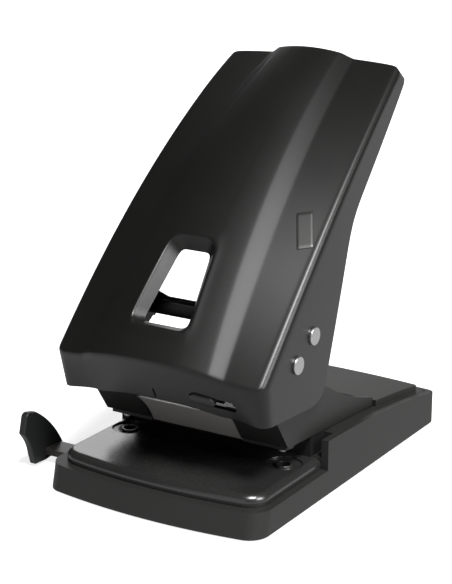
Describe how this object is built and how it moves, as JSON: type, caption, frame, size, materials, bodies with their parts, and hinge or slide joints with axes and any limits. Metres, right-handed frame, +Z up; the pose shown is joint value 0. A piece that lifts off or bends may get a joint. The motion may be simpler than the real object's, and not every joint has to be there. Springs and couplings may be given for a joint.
{
  "type": "two-hole punch",
  "caption": "Desk hole punch with a tall lever handle over sprung punches, dies in a pressed plate, a sliding paper guide and a hinged chip tray",
  "frame": {"origin": "On the table, midway between the two punch holes", "axes": "+Z up, +Y to the back where the handle's free end is, +X to the user's right"},
  "size_m": [0.1296, 0.1746, 0.1803],
  "materials": {
    "handle_cover": "satin powder coat, near-black",
    "blank_badge": "satin, same coat as the cover",
    "base_shell": "fine-grained moulded plastic",
    "rear_deck": "fine-grained moulded plastic",
    "die_plate": "semi-gloss black coat on pressed steel",
    "dies": "blackened steel",
    "back_stop": "blackened steel bar",
    "punch_frame": "satin black coat on folded steel",
    "guide_plate": "satin black coat",
    "steel_pins": "ground steel",
    "rivet_axle": "bright zinc plate",
    "springs": "drawn wire",
    "lever": "black oxide with bare cut edges",
    "lock": "satin black coat",
    "guide_bar": "black coat, worn edges",
    "guide_tab": "moulded plastic",
    "tray": "moulded plastic",
    "feet": "soft rubber"
  },
  "bodies": {
    "base": {"base_shell": "base_shell", "rear_deck": "rear_deck", "die_plate": "die_plate", "back_stop": "back_stop", "punch_frame": "punch_frame", "guide_plate": "guide_plate", "pivot_axle": "steel_pins", "pivot_clips": "steel_pins", "frame_screws": "steel_pins", "rubber_feet": "feet", "guide_rails": "tray", "tray_hinge_pins": "steel_pins", "left_die": "dies", "right_die": "dies", "left_pin_guide": "dies", "right_pin_guide": "dies", "left_return_spring": "springs", "right_return_spring": "springs"},
    "handle": {"handle_cover": "handle_cover", "blank_badge": "blank_badge", "lever_frame": "lever", "crossbar_sleeve": "lever", "press_axle": "rivet_axle", "tie_axle": "rivet_axle"},
    "lock": {"lock_slider": "lock"},
    "left_punch_body": {"left_punch": "steel_pins", "left_punch_collar": "steel_pins"},
    "right_punch_body": {"right_punch": "steel_pins", "right_punch_collar": "steel_pins"},
    "paper_guide": {"guide_bar": "guide_bar", "guide_tab": "guide_tab"},
    "tray": {"chip_tray": "tray", "tray_latch": "tray"}
  },
  "joints": [
    {"name": "handle_press", "type": "hinge", "parent": "base", "child": "handle", "pos_m": [0, -0.0225, 0.053], "axis": [-1, 0, 0], "range_deg": [0, 32], "stiffness_Nm_per_rad": 0.6, "springref_deg": -68.75},
    {"name": "left_punch_slide", "type": "slide", "parent": "base", "child": "left_punch_body", "axis": [0, 0, -1], "range_m": [0, 0.00897], "deforming": ["left_return_spring"]},
    {"name": "right_punch_slide", "type": "slide", "parent": "base", "child": "right_punch_body", "axis": [0, 0, -1], "range_m": [0, 0.00897], "deforming": ["right_return_spring"]},
    {"name": "lock_slide", "type": "slide", "parent": "handle", "child": "lock", "axis": [0.9703, 0.1966, -0.1412], "range_m": [0, 0.0085]},
    {"name": "paper_guide_slide", "type": "slide", "parent": "base", "child": "paper_guide", "axis": [-1, 0, 0], "range_m": [-0.0165, 0.0735]},
    {"name": "tray_open", "type": "hinge", "parent": "base", "child": "tray", "pos_m": [0, 0.1074, 0.0031], "axis": [1, 0, 0], "range_deg": [0, 60]}
  ],
  "couplings": [
    {"joint": "left_punch_slide", "follows": "handle_press", "m_per_rad": 0.016007},
    {"joint": "right_punch_slide", "follows": "handle_press", "m_per_rad": 0.016007}
  ]
}
